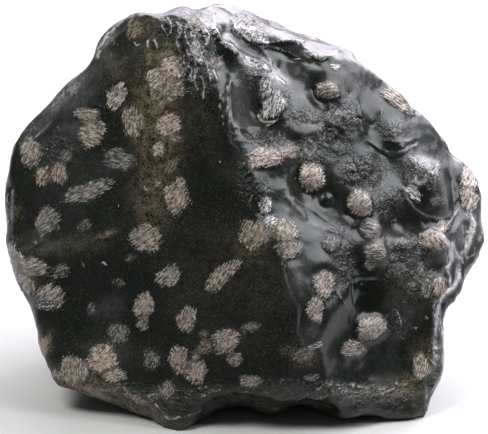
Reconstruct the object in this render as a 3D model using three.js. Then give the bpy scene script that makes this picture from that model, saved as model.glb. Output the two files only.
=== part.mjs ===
// Snowflake obsidian: one raw lump of black volcanic glass with broken, hollowed faces, a crest down
// its front, nodules on its right and a notched lower rim. It is one piece, so it is one mesh.
//
// The lump is laid out as it is sighted from in front, 20 degrees above level: x runs across to the
// right, y up and z towards the eye, in millimetres, from the middle of the outline. The finished
// solid is then stood up: X right, Y away from the eye, Z up, with its broken base on Z = 0.
//
// Its surface is described as a stone breaks: a rounded blank with the sighted outline, large faces
// struck off it, chips and dips in those faces, and nodules standing on them. Each is a distance
// from the surface, above zero outside, and the points of a ball are drawn in or out along their
// own rays until they lie on it.
import * as THREE from "three";
import { mergeVertices } from "three/addons/utils/BufferGeometryUtils.js";

const SIGHT_ELEVATION = 20; // degrees above level
const BASE_REACH = 33.5; // from the middle down to the broken base

const BALL_DETAIL = 20; // 20 * (detail + 1)^2 triangles
const CROWDING = 0.36; // how far the ball's points are drawn towards the busiest side
const BUSY_SIDE = [16, 2]; // azimuth and elevation of that side, as for the faces below
const EDGE_SNAP = 0.9; // points this near to a sharp edge move onto it, on the busiest side
const FAR_EDGE_SNAP = 2.2; // and on the side away from it
const BLUNT = 0.03; // edges blunter than this aren't snapped to
const EDGE_BLEND = 0.5; // surfaces this near to one another share the way out of the stone

// The blank: where it ends towards the eye and away from it, and how square its sides are.
const FRONT_END = 50;
const BACK_END = -37;
const FRONT_SQUARENESS = 2.8;
const BACK_SQUARENESS = 2.6;
const NOTCH_RUN = 14; // the outline's small bumps fade out this far behind it
const NOTCH_WIDTH = 16; // degrees to each side over which they are evened out, inwards

// The sighted outline, anticlockwise from the left: across, up, and how far it lies towards the eye.
const OUTLINE = [
  [-48.9, 8.6, 11],
  [-49.7, 2.8, 11],
  [-48.5, -3.8, 11.2],
  [-47.8, -9.4, 12],
  [-47.3, -14.2, 12.9],
  [-44.4, -17.9, 13.8],
  [-43.2, -21.2, 14.6],
  [-42.2, -25.2, 15.3],
  [-42.6, -27.8, 16],
  [-40.9, -30.4, 16.6],
  [-40.3, -33.2, 16.2],
  [-38.4, -35.2, 15.4],
  [-33.8, -36.4, 16.2],
  [-29.7, -38.4, 18.3],
  [-25.6, -40.2, 20.4],
  [-22.2, -42.3, 21.5],
  [-19.6, -44.3, 23.8],
  [-16.7, -45.3, 24.5],
  [-13.1, -44.8, 24.5],
  [-9.8, -42.7, 19.4],
  [-6.5, -40.7, 13.9],
  [-3.8, -39.4, 10.3],
  [0.0, -39.0, 9.2],
  [2.8, -40.1, 12.2],
  [4.6, -41.1, 15],
  [7.1, -40.7, 13.9],
  [9.8, -39.5, 10.6],
  [12.7, -38.8, 8.7],
  [15.2, -39.6, 10.9],
  [17.4, -40.9, 14.4],
  [19.6, -41.7, 16.6],
  [23.0, -41.3, 15.5],
  [25.6, -40.6, 13.6],
  [28.4, -41.6, 16.3],
  [33.0, -41.7, 16.6],
  [37.4, -41.3, 15.5],
  [38.2, -39.2, 14],
  [38.8, -36.9, 13.1],
  [40.4, -34.6, 12.4],
  [41.4, -31.4, 11.5],
  [41.5, -27.0, 10.3],
  [41.8, -22.5, 9.2],
  [42.5, -19.4, 8.2],
  [45.7, -16.3, 7.3],
  [46.7, -13.0, 6.4],
  [47.6, -8.8, 5.5],
  [48.8, -5.2, 5.1],
  [50.6, -0.6, 4.5],
  [50.5, 4.2, 3.5],
  [48.9, 8.2, 3],
  [46.9, 10.6, 3],
  [44.0, 12.0, 3],
  [42.8, 15.3, 3],
  [40.2, 18.3, 3],
  [36.8, 21.9, 3],
  [33.1, 24.4, 3],
  [28.8, 28.7, 3],
  [25.1, 31.1, 3.5],
  [22.9, 32.9, 4.5],
  [21.0, 34.6, 5],
  [18.7, 35.4, 5],
  [15.9, 37.0, 5],
  [13.4, 38.9, 5],
  [11.1, 39.1, 5],
  [9.3, 41.0, 5],
  [7.2, 42.6, 5],
  [4.0, 42.5, 5.5],
  [-1.3, 43.2, 6.5],
  [-4.8, 43.7, 7],
  [-7.4, 43.7, 7],
  [-9.6, 42.5, 7],
  [-12.6, 43.6, 7],
  [-15.4, 43.0, 7],
  [-18.0, 42.0, 7.8],
  [-21.8, 42.5, 9.2],
  [-24.5, 41.3, 10],
  [-28.3, 38.9, 10],
  [-30.6, 36.0, 10],
  [-31.3, 33.2, 10],
  [-33.4, 30.2, 10],
  [-37.2, 27.5, 10.2],
  [-39.8, 24.4, 10.8],
  [-44.6, 19.4, 11],
  [-47.4, 15.6, 11],
];

// The large faces struck off the blank: the direction each looks in (azimuth to the right of the
// eye, elevation above the line of sight, degrees), how far its plane is from the middle, and how
// hollow it is (negative for a swelling face).
const FACES = [
  { name: "left face", azimuth: -15, elevation: -3, reach: 28.9, hollow: -0.5 },
  { name: "upper left shoulder", azimuth: -42, elevation: 24, reach: 44.6, hollow: -0.8 },
  { name: "right face", azimuth: 26, elevation: 12.2, reach: 29.5, hollow: -1.6 },
  { name: "upper right slope", azimuth: 47, elevation: 22, reach: 36.2, hollow: -0.8 },
  { name: "top", azimuth: 43, elevation: 60, reach: 40.5, hollow: 0.4 },
  { name: "lower front", azimuth: 6, elevation: -16, reach: 38.3, hollow: 0.2 },
  { name: "right side", azimuth: 62, elevation: -4, reach: 46.8, hollow: -0.8 },
  { name: "lower rim", azimuth: 4, elevation: -40, reach: 45.2, hollow: 0.3 },
  { name: "lower left rim", azimuth: -38, elevation: -42, reach: 51.2, hollow: 0.4 },
  { name: "back", azimuth: 176, elevation: 14, reach: 32, hollow: 1.2 },
  { name: "right of the back", azimuth: 128, elevation: 4, reach: 41, hollow: 1 },
  { name: "left of the back", azimuth: -132, elevation: -2, reach: 42, hollow: 1.2 },
  { name: "high on the back", azimuth: 158, elevation: 52, reach: 35.5, hollow: 0.8 },
  { name: "high left of the back", azimuth: -128, elevation: 44, reach: 40, hollow: 0.6 },
];
const FACE_SPREAD = 30; // the distance from a face's middle at which its hollow is told

// The smaller features are placed by sighting: `from` is the direction they are sighted from
// (azimuth and elevation as above), `at` how far across and up from the line through the middle.
// Each has its spread (half its width); `stretch` lengthens it, at `turn` degrees from across.
const FRONT = [0, 0];
const RIGHT = [84, 0];
const LEFT = [-84, 0];
const BACK = [180, 10];
const BACK_RIGHT = [136, 6];
const BACK_LEFT = [-136, 6];
const TOP = [0, 78];

// Dips have soft rims.
const DIPS = [
  // beside the crest, on both sides
  { from: FRONT, at: [2.0, 21.5], spread: 6.4, depth: 2.0, stretch: 1.7, turn: 105 },
  { from: FRONT, at: [3.4, 21.8], spread: 3.2, depth: 0.9, stretch: 1.3, turn: 100 },
  { from: FRONT, at: [-5.6, 18.5], spread: 4.0, depth: 1.0, stretch: 3.4, turn: 106 },
  { from: FRONT, at: [-4.0, 31.5], spread: 4.4, depth: 1.4, stretch: 1.3, turn: 120 },
  // under the brow
  { from: FRONT, at: [12.0, 28.5], spread: 5.6, depth: 1.5, stretch: 1.5, turn: 165 },
  { from: FRONT, at: [26.5, 24.5], spread: 6.6, depth: 1.3, stretch: 1.5, turn: 130 },
  { from: FRONT, at: [28.0, 15.5], spread: 6.0, depth: 1.2, stretch: 1.5, turn: 110 },
  // the moats of the two upper nodules
  { from: FRONT, at: [16.6, 24.6], spread: 5.2, depth: 1.5 },
  { from: FRONT, at: [13.4, 7.6], spread: 5.6, depth: 2.6 },
  // the wide shallow hollow round the crater, and the dark ones right of it
  { from: FRONT, at: [17.0, 1.8], spread: 8.5, depth: 1.5, stretch: 1.3, turn: 150 },
  { from: FRONT, at: [32.5, -1.2], spread: 5.6, depth: 1.7, stretch: 1.3, turn: 120 },
  { from: FRONT, at: [30.0, 10.0], spread: 5.0, depth: 1.3, stretch: 1.4, turn: 60 },
  // low on the right
  { from: FRONT, at: [24.5, -13.6], spread: 6.0, depth: 0.8, stretch: 1.4, turn: 95 },
  { from: FRONT, at: [17.5, -25.5], spread: 4.6, depth: 0.4, stretch: 1.6, turn: 40 },
  { from: FRONT, at: [36.0, -24.0], spread: 6.0, depth: 1.0, stretch: 1.5, turn: 80 },
  // between the lobes on the right edge
  { from: FRONT, at: [44.8, -8.0], spread: 4.0, depth: 1.8, stretch: 2.0, turn: 98 },
  { from: FRONT, at: [44.4, 0.4], spread: 4.0, depth: 1.4, stretch: 1.3, turn: 60 },
  // the slow swells of the left face
  { from: FRONT, at: [-24.0, -18.5], spread: 13.0, depth: 1.1, stretch: 1.5, turn: 60 },
  { from: FRONT, at: [-37.5, 21.5], spread: 9.0, depth: 1.1, stretch: 1.8, turn: 45 },
  { from: FRONT, at: [-10.0, -5.0], spread: 11.0, depth: 0.8, stretch: 1.7, turn: 100 },
  { from: FRONT, at: [-39.0, -2.5], spread: 8.0, depth: 0.8, stretch: 1.6, turn: 20 },
  { from: FRONT, at: [-20.0, 14.0], spread: 11.0, depth: 0.6, stretch: 1.6, turn: 100 },
  // on the top
  { from: FRONT, at: [-3.2, 38.4], spread: 3.6, depth: 1.4, stretch: 1.3, turn: 130 },
  { from: FRONT, at: [1.2, 35.2], spread: 3.0, depth: 1.2, stretch: 1.8, turn: 150 },
  { from: TOP, at: [9.0, 6.0], spread: 9.0, depth: 1.6, stretch: 1.5, turn: 20 },
  { from: TOP, at: [-12.0, 12.0], spread: 10.0, depth: 1.8, stretch: 1.3, turn: 140 },
  // round the sides and the back
  { from: RIGHT, at: [20.0, 16.0], spread: 8.0, depth: 1.6 },
  { from: RIGHT, at: [-2.0, -18.0], spread: 9.0, depth: 1.8, stretch: 1.4, turn: 30 },
  { from: LEFT, at: [-14.0, -12.0], spread: 8.0, depth: 1.6, stretch: 1.3, turn: 20 },
  { from: BACK, at: [4.0, 22.0], spread: 9.0, depth: 1.8, stretch: 1.5, turn: 10 },
  { from: BACK_RIGHT, at: [-6.0, -10.0], spread: 9.0, depth: 1.8, stretch: 1.5, turn: 90 },
];

// Chips have sharp rims, like a shell's print; `looks` is the direction the chipped face looks in,
// where that isn't straight out of the surface.
const CHIPS = [
  { from: FRONT, at: [31.0, -21.0], spread: 12.5, depth: 2.2, stretch: 1.35, turn: 84, looks: [24, -9] },
  { from: FRONT, at: [1.6, 34.6], spread: 7.0, depth: 2.0, stretch: 1.4, turn: 140, looks: [50, 36] },
  { from: FRONT, at: [-47.0, -11.0], spread: 4.6, depth: 1.3, stretch: 1.7, turn: 115, looks: [-58, -24] },
  { from: FRONT, at: [-42.2, -27.0], spread: 3.4, depth: 0.9, stretch: 1.4, turn: 105, looks: [-60, -8] },
  { from: FRONT, at: [-29.0, 36.6], spread: 3.2, depth: 0.9, stretch: 2.6, turn: 38, looks: [-52, 44] },
  { from: FRONT, at: [-0.5, -38.3], spread: 5.0, depth: 1.8, stretch: 1.5, turn: 0, looks: [0, -62] },
  { from: FRONT, at: [12.8, -38.3], spread: 3.6, depth: 1.4, stretch: 1.4, turn: 0, looks: [4, -62] },
  { from: FRONT, at: [-29.0, -37.0], spread: 4.6, depth: 1.3, stretch: 1.8, turn: -22, looks: [-30, -60] },
  { from: RIGHT, at: [6.0, 4.0], spread: 9.5, depth: 2.4, stretch: 1.3, turn: 70 },
  { from: LEFT, at: [-6.0, 6.0], spread: 10.0, depth: 2.6, stretch: 1.3, turn: 110 },
  { from: BACK, at: [-14.0, 8.0], spread: 14.0, depth: 3.4, stretch: 1.3, turn: 60 },
  { from: BACK, at: [16.0, -4.0], spread: 12.0, depth: 2.8, stretch: 1.4, turn: 120 },
  { from: BACK_RIGHT, at: [4.0, 14.0], spread: 9.0, depth: 2.2, stretch: 1.2, turn: 45 },
  { from: BACK_LEFT, at: [2.0, 4.0], spread: 11.0, depth: 2.8, stretch: 1.3, turn: 80 },
];

// Lumps stand out, with soft feet.
const LUMPS = [
  // the foot of the spur that runs down from the top beside the crest
  { from: FRONT, at: [5.4, 26.0], spread: 3.0, height: 1.4, stretch: 2.4, turn: 108 },
  // the tongue between the crest and the large chip
  { from: FRONT, at: [14.6, -14.0], spread: 6.4, height: 1.0, stretch: 2.2, turn: 98 },
  // nodules in their moats, and the ones standing on the right face
  { from: FRONT, at: [17.3, 26.2], spread: 3.0, height: 2.2, stretch: 1.2, turn: 10 },
  { from: FRONT, at: [13.9, 8.2], spread: 3.8, height: 2.8 },
  { from: FRONT, at: [24.2, 2.8], spread: 3.6, height: 1.6 },
  { from: FRONT, at: [26.4, -2.8], spread: 2.6, height: 1.2, stretch: 1.2, turn: 20 },
  { from: FRONT, at: [26.9, -7.8], spread: 3.4, height: 2.0, stretch: 1.2, turn: 0 },
  { from: FRONT, at: [32.6, -5.2], spread: 3.2, height: 1.8, stretch: 1.2, turn: 150 },
  { from: FRONT, at: [18.2, -5.6], spread: 2.8, height: 1.0 },
  { from: FRONT, at: [26.6, -22.8], spread: 4.0, height: 1.6, stretch: 1.15, turn: 20 },
  { from: FRONT, at: [22.8, -27.0], spread: 3.0, height: 1.2, stretch: 1.5, turn: 0 },
  { from: FRONT, at: [32.0, 24.6], spread: 3.4, height: 1.2, stretch: 1.6, turn: 150 },
  { from: FRONT, at: [19.0, 20.6], spread: 3.2, height: 0.9, stretch: 1.3, turn: 120 },
  { from: FRONT, at: [20.1, 34.2], spread: 3.4, height: 1.4, stretch: 1.3, turn: 140 },
  // the dome, the large nodule below it and the lobes on the right edge
  { from: FRONT, at: [38.4, 4.8], spread: 7.6, height: 2.4 },
  { from: FRONT, at: [39.7, -5.6], spread: 4.6, height: 3.0, stretch: 1.15, turn: 10 },
  { from: FRONT, at: [47.0, 6.4], spread: 6.0, height: 2.4, stretch: 1.5, turn: 100 },
  { from: FRONT, at: [48.0, -4.0], spread: 5.0, height: 1.8, stretch: 2.0, turn: 96 },
  { from: FRONT, at: [40.6, -14.2], spread: 3.0, height: 1.2, stretch: 1.5, turn: 80 },
  { from: FRONT, at: [37.0, -31.6], spread: 3.2, height: 1.0, stretch: 1.4, turn: 90 },
  // on the crest and on the left face
  { from: FRONT, at: [6.2, -3.6], spread: 5.4, height: 1.3, stretch: 1.3, turn: 140 },
  { from: FRONT, at: [5.6, 12.6], spread: 4.2, height: 1.0, stretch: 1.6, turn: 5 },
  { from: FRONT, at: [-29.5, -31.0], spread: 6.0, height: 0.9, stretch: 1.6, turn: 0 },
  { from: FRONT, at: [-17.0, 28.4], spread: 6.0, height: 0.8, stretch: 1.6, turn: 100 },
  { from: FRONT, at: [-3.6, -26.6], spread: 5.0, height: 0.8, stretch: 1.3, turn: 150 },
  // round the sides and the back
  { from: RIGHT, at: [-8.0, 8.0], spread: 4.6, height: 1.8, stretch: 1.3, turn: 60 },
  { from: RIGHT, at: [12.0, -8.0], spread: 4.0, height: 1.5 },
  { from: LEFT, at: [8.0, -6.0], spread: 4.6, height: 1.4, stretch: 1.4, turn: 100 },
  { from: BACK, at: [0.0, 2.0], spread: 5.0, height: 2.0, stretch: 1.5, turn: 70 },
  { from: BACK, at: [-22.0, -12.0], spread: 4.0, height: 1.6 },
  { from: BACK_RIGHT, at: [2.0, 0.0], spread: 4.4, height: 1.7, stretch: 1.3, turn: 30 },
  { from: TOP, at: [-2.0, -2.0], spread: 4.0, height: 1.2, stretch: 1.6, turn: 30 },
];
const REACH_INWARDS = 12; // a dip or a lump has no effect this far in or out from its own place

const SIGHT_START = 75; // sighting starts this far from the middle and must meet the stone
const SIGHT_STEP = 1;
const HALVINGS = 24;

const UP = new THREE.Vector3(0, 1, 0);
const radians = THREE.MathUtils.degToRad;

// A unit vector at an azimuth to the right of the eye and an elevation above the line of sight.
function direction(azimuth, elevation) {
  return new THREE.Vector3(0, 0, 1)
    .applyAxisAngle(new THREE.Vector3(1, 0, 0), -radians(elevation))
    .applyAxisAngle(UP, radians(azimuth));
}

// The outline by angle, in even steps round it: how far out, how far towards the eye, and how far
// out behind it, where its bumps are gone.
const OUTLINE_STEPS = 720;
const outline = (() => {
  const points = new THREE.CatmullRomCurve3(
    OUTLINE.map((point) => new THREE.Vector3(...point)),
    true,
    "centripetal",
  ).getPoints(OUTLINE.length * 12);
  const fullTurn = 2 * Math.PI;
  const turnTo = (point) => THREE.MathUtils.euclideanModulo(Math.atan2(point.y, point.x), fullTurn);
  points.sort((one, other) => turnTo(one) - turnTo(other));
  const steps = Array.from({ length: OUTLINE_STEPS }, (_, step) => {
    const angle = (fullTurn * step) / OUTLINE_STEPS;
    const after = points.find((point) => turnTo(point) >= angle) ?? points[0];
    return { radius: Math.hypot(after.x, after.y), depth: after.z };
  });
  const reach = Math.round((NOTCH_WIDTH / 360) * OUTLINE_STEPS);
  const near = (key, index) =>
    Array.from({ length: 2 * reach + 1 }, (_, k) => steps.at((index + k - reach) % OUTLINE_STEPS)[key]);
  steps.forEach((step, index) => (step.least = Math.min(...near("radius", index))));
  steps.forEach((step, index) => {
    const least = near("least", index);
    step.even = least.reduce((sum, radius) => sum + radius, 0) / least.length;
  });
  return steps;
})();

function outlineAt(angle) {
  const step = THREE.MathUtils.euclideanModulo(angle / (2 * Math.PI), 1) * OUTLINE_STEPS;
  const below = outline[Math.floor(step) % OUTLINE_STEPS];
  const above = outline[(Math.floor(step) + 1) % OUTLINE_STEPS];
  const between = (key) => THREE.MathUtils.lerp(below[key], above[key], step % 1);
  return { radius: between("radius"), depth: between("depth"), even: between("even") };
}

// The distance from the rounded blank: the outline at its own depth, closing to a point at the
// front and the back.
function fromBlank(p) {
  const { radius, depth, even } = outlineAt(Math.atan2(p.y, p.x));
  const away = p.z - depth;
  const share = Math.min(1, away / ((away > 0 ? FRONT_END : BACK_END) - depth));
  const square = away > 0 ? FRONT_SQUARENESS : BACK_SQUARENESS;
  const fade = THREE.MathUtils.smoothstep(-away, 0, NOTCH_RUN);
  const size = THREE.MathUtils.lerp(radius, even, fade);
  return Math.hypot(p.x, p.y) - size * Math.max(1e-6, 1 - share ** square) ** (1 / square);
}

// The distance from a struck face, which is a slightly curved plane.
const faces = FACES.map((face) => ({ ...face, normal: direction(face.azimuth, face.elevation) }));
const base = { normal: direction(0, -(90 + SIGHT_ELEVATION)), reach: BASE_REACH, hollow: 0 };

function fromFace(p, { normal, reach, hollow }) {
  const along = p.dot(normal);
  const aside = Math.sqrt(Math.max(0, p.lengthSq() - along * along));
  return along - reach - hollow * ((aside / FACE_SPREAD) ** 2 - 0.4);
}

const struckStone = (p) => [fromBlank(p), ...[...faces, base].map((face) => fromFace(p, face))];
const largest = (distances) => Math.max(...distances);

// Which way a distance grows fastest.
function slope(distance, p) {
  const step = 0.05;
  const partial = ["x", "y", "z"].map((axis) => {
    const ahead = p.clone();
    const behind = p.clone();
    ahead[axis] += step;
    behind[axis] -= step;
    return (distance(ahead) - distance(behind)) / (2 * step);
  });
  return new THREE.Vector3(...partial);
}

// The place where a ray first meets a surface, from outside.
function meet(distance, start, heading, longest) {
  const at = (travel) => start.clone().addScaledVector(heading, travel);
  let far = 0;
  while (distance(at(far)) > 0) {
    far += SIGHT_STEP;
    if (far > longest) return null;
  }
  let near = far - SIGHT_STEP;
  for (let i = 0; i < HALVINGS; i++) {
    const mid = (near + far) / 2;
    if (distance(at(mid)) > 0) near = mid;
    else far = mid;
  }
  return at((near + far) / 2);
}

// A feature on the struck stone: its place, the way out of the surface there, and its length's way.
function place(feature) {
  const { from, at, turn = 0, looks } = feature;
  const towardsEye = direction(...from);
  const across = new THREE.Vector3().crossVectors(UP, towardsEye).normalize();
  const up = new THREE.Vector3().crossVectors(towardsEye, across);
  const start = towardsEye
    .clone()
    .multiplyScalar(SIGHT_START)
    .addScaledVector(across, at[0])
    .addScaledVector(up, at[1]);
  const surface = (p) => largest(struckStone(p));
  const middle = meet(surface, start, towardsEye.clone().negate(), 2 * SIGHT_START);
  if (!middle) throw new Error(`nothing is sighted from ${from} at ${at}`);
  const outwards = looks ? direction(...looks) : slope(surface, middle).normalize();
  const along = across
    .multiplyScalar(Math.cos(radians(turn)))
    .addScaledVector(up, Math.sin(radians(turn)))
    .projectOnPlane(outwards)
    .normalize();
  return { ...feature, middle, outwards, along };
}

const dips = DIPS.map(place);
const chips = CHIPS.map(place);
const lumps = LUMPS.map(place);

// How far a point is from a feature's middle, over the surface and out of it.
function apart(p, { middle, outwards, along, stretch = 1 }) {
  const offset = p.clone().sub(middle);
  const out = offset.dot(outwards);
  const length = offset.dot(along);
  const across = Math.sqrt(Math.max(0, offset.lengthSq() - out * out - length * length));
  return { over: Math.hypot(length / stretch, across), out };
}

// One in the middle of a feature, falling smoothly to nothing at its spread.
function swelling(p, feature) {
  const { over, out } = apart(p, feature);
  const share = Math.hypot(over / feature.spread, out / REACH_INWARDS);
  return share < 1 ? (1 - share * share) ** 2 : 0;
}

// The distance from the ball that a chip is struck out with, which is outside the stone.
function fromChip(p, chip) {
  const radius = (chip.spread ** 2 + chip.depth ** 2) / (2 * chip.depth);
  const { over, out } = apart(p, chip);
  return radius - Math.hypot(over, out - (radius - chip.depth));
}

// Every sharp-edged surface at a point, the base last; it is outside where any is above zero.
const surfaces = (p) => [...chips.map((chip) => fromChip(p, chip)), ...struckStone(p)];
const inOrder = (distances) => distances.map((_, i) => i).sort((a, b) => distances[b] - distances[a]);

// A point near a sharp edge moves onto it: onto both of the surfaces that meet there.
function snapped(p, snap) {
  const distances = surfaces(p);
  const [first, second] = inOrder(distances);
  if (distances[first] - distances[second] > snap) return p;
  const one = slope((q) => surfaces(q)[first], p);
  const other = slope((q) => surfaces(q)[second], p);
  const shared = one.dot(other);
  const room = one.lengthSq() * other.lengthSq() - shared * shared;
  if (room < BLUNT) return p;
  const byOne = (-distances[first] * other.lengthSq() + distances[second] * shared) / room;
  const byOther = (-distances[second] * one.lengthSq() + distances[first] * shared) / room;
  const moved = p.clone().addScaledVector(one, byOne).addScaledVector(other, byOther);
  return moved.distanceTo(p) < 1.5 * snap ? moved : p;
}

// A point sinks into the dips and rises over the lumps, straight out of the surface or surfaces
// it lies on. The base stays flat.
function sunkOrRaised(p) {
  const distances = surfaces(p);
  const top = largest(distances);
  if (top - distances.at(-1) < EDGE_BLEND) return p;
  let rise = 0;
  for (const dip of dips) rise -= dip.depth * swelling(p, dip);
  for (const lump of lumps) rise += lump.height * swelling(p, lump);
  if (rise === 0) return p;
  const outwards = new THREE.Vector3();
  distances.forEach((distance, index) => {
    const weight = 1 - (top - distance) / EDGE_BLEND;
    if (weight > 0) outwards.addScaledVector(slope((q) => surfaces(q)[index], p).normalize(), weight);
  });
  return p.clone().addScaledVector(outwards.normalize(), rise);
}

function stone() {
  const ball = new THREE.IcosahedronGeometry(1, BALL_DETAIL);
  ball.deleteAttribute("normal");
  ball.deleteAttribute("uv");
  const geometry = mergeVertices(ball, 1e-4);
  const position = geometry.attributes.position;
  const busy = direction(...BUSY_SIDE);
  const surface = (p) => largest(surfaces(p));
  for (let i = 0; i < position.count; i++) {
    const ray = new THREE.Vector3().fromBufferAttribute(position, i);
    ray.addScaledVector(busy, CROWDING).normalize();
    const snap = THREE.MathUtils.mapLinear(ray.dot(busy), 1, -1, EDGE_SNAP, FAR_EDGE_SNAP);
    const outside = ray.clone().multiplyScalar(SIGHT_START);
    const onSurface = meet(surface, outside, ray.negate(), SIGHT_START);
    const point = sunkOrRaised(snapped(onSurface, snap));
    point.addScaledVector(base.normal, -Math.max(0, fromFace(point, base)));
    position.setXYZ(i, point.x, point.y, point.z);
  }
  return geometry;
}

const part = new THREE.Group();
const mesh = new THREE.Mesh(
  stone(),
  new THREE.MeshStandardMaterial({ color: 0x1d211f, roughness: 0.25, metalness: 0 }),
);
mesh.name = "snowflake_obsidian";
mesh.rotation.x = radians(90 - SIGHT_ELEVATION);
mesh.updateMatrixWorld();
const box = new THREE.Box3().setFromObject(mesh, true);
const middle = box.getCenter(new THREE.Vector3());
mesh.position.set(-middle.x, -middle.y, -box.min.z);
part.add(mesh);

export default part;
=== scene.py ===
import math
import random
from collections import namedtuple
from functools import reduce

import bmesh
import bpy
import numpy as np
from mathutils import Matrix, Vector, noise
from mathutils.bvhtree import BVHTree


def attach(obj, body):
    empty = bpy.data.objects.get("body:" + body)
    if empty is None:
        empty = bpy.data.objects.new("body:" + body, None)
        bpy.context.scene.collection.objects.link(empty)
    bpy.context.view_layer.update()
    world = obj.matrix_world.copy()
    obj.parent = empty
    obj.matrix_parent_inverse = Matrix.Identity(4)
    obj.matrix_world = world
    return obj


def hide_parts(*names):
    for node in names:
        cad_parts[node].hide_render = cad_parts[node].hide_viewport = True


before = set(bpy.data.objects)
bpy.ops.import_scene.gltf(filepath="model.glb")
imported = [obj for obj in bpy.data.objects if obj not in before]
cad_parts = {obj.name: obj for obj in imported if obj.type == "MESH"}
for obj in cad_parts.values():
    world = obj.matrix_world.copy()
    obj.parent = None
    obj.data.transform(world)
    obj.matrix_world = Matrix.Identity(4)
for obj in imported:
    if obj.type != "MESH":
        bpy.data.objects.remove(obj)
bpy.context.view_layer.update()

# Lengths are in millimetres until the lump's mesh is written back in metres. The floor, the lights
# and the materials are in metres.
MM = 0.001
GRAIN = 1.08                # width of the mesh faces; half of it on the front, a quarter in its fine relief
SAME_SPOT = 1e-6            # metres within which the solid's corners are one
SIGHT_ELEVATION = 20.0      # degrees that the front is looked down on
SIGHT_CENTRE = Vector((-0.42, 2.04, 33.50))
SIGHT_DISTANCE = 1000.0
PICTURE = (488, 434)
POINT = 102.5 / 488         # width of one picture point at SIGHT_CENTRE
MIDDLE = (243.5, 216.5)     # the picture point that looks at SIGHT_CENTRE
NEEDLE = 2.6                # mm that the crystals' needle pattern is measured by

# The relief, in mm: how far it may cut in and stand up, and the share of their height that the
# listed lines and rings get. In picture points: the least half width of a raised line, how near to
# a line the mesh is finest, and a distance greater than any.
RELIEF = (-2.2, 1.4)
LINE_RISE, RING_RISE = 0.7, 0.6
LEAST_WIDE, FINE_GAP, FAR_OFF = 1.6, 2.4, 1e3
FINE_ROUGH = 0.55           # the mesh is finest too where the rough patches are this strong

# How squarely a face looks at the eye, 1 being straight at it: where the finer mesh of the front
# ends, where hidden flakes begin, and where the relief, the finish and the soft rims with their
# painted sheen fade in.
FRONT_EDGE, AWAY_FROM = -0.04, -0.22
FRONT_FADE, SHOWN_FADE, RIM_FADE = (0.0, 0.2), (-0.02, 0.09), (0.03, 0.28)

# A flake, in its half widths: how deep it reaches, how far around it is looked at, and the farthest
# that a place can be out of it, the rim being at 1.
FLAKE_DEPTH, FLAKE_FIELD, REACH_LIMIT = 0.9, 4.0, 1.9

LIGHT_DISTANCE = 1.1
ROOM_LIGHT = (0.072, 0.081, 0.074, 1)
FLOOR_HALF = 2.5
# the grey is painted shade on the paper: a pool of light painted white behind the lump and grey in front
WHITE_PAPER, PAINTED_SHADE_GREY = (0.50, 0.50, 0.50, 1), (0.10, 0.10, 0.10, 1)
PAPER_FADE = (-0.036, -0.066)       # Y where the paper's painted shade starts and where it is full grey
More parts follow.
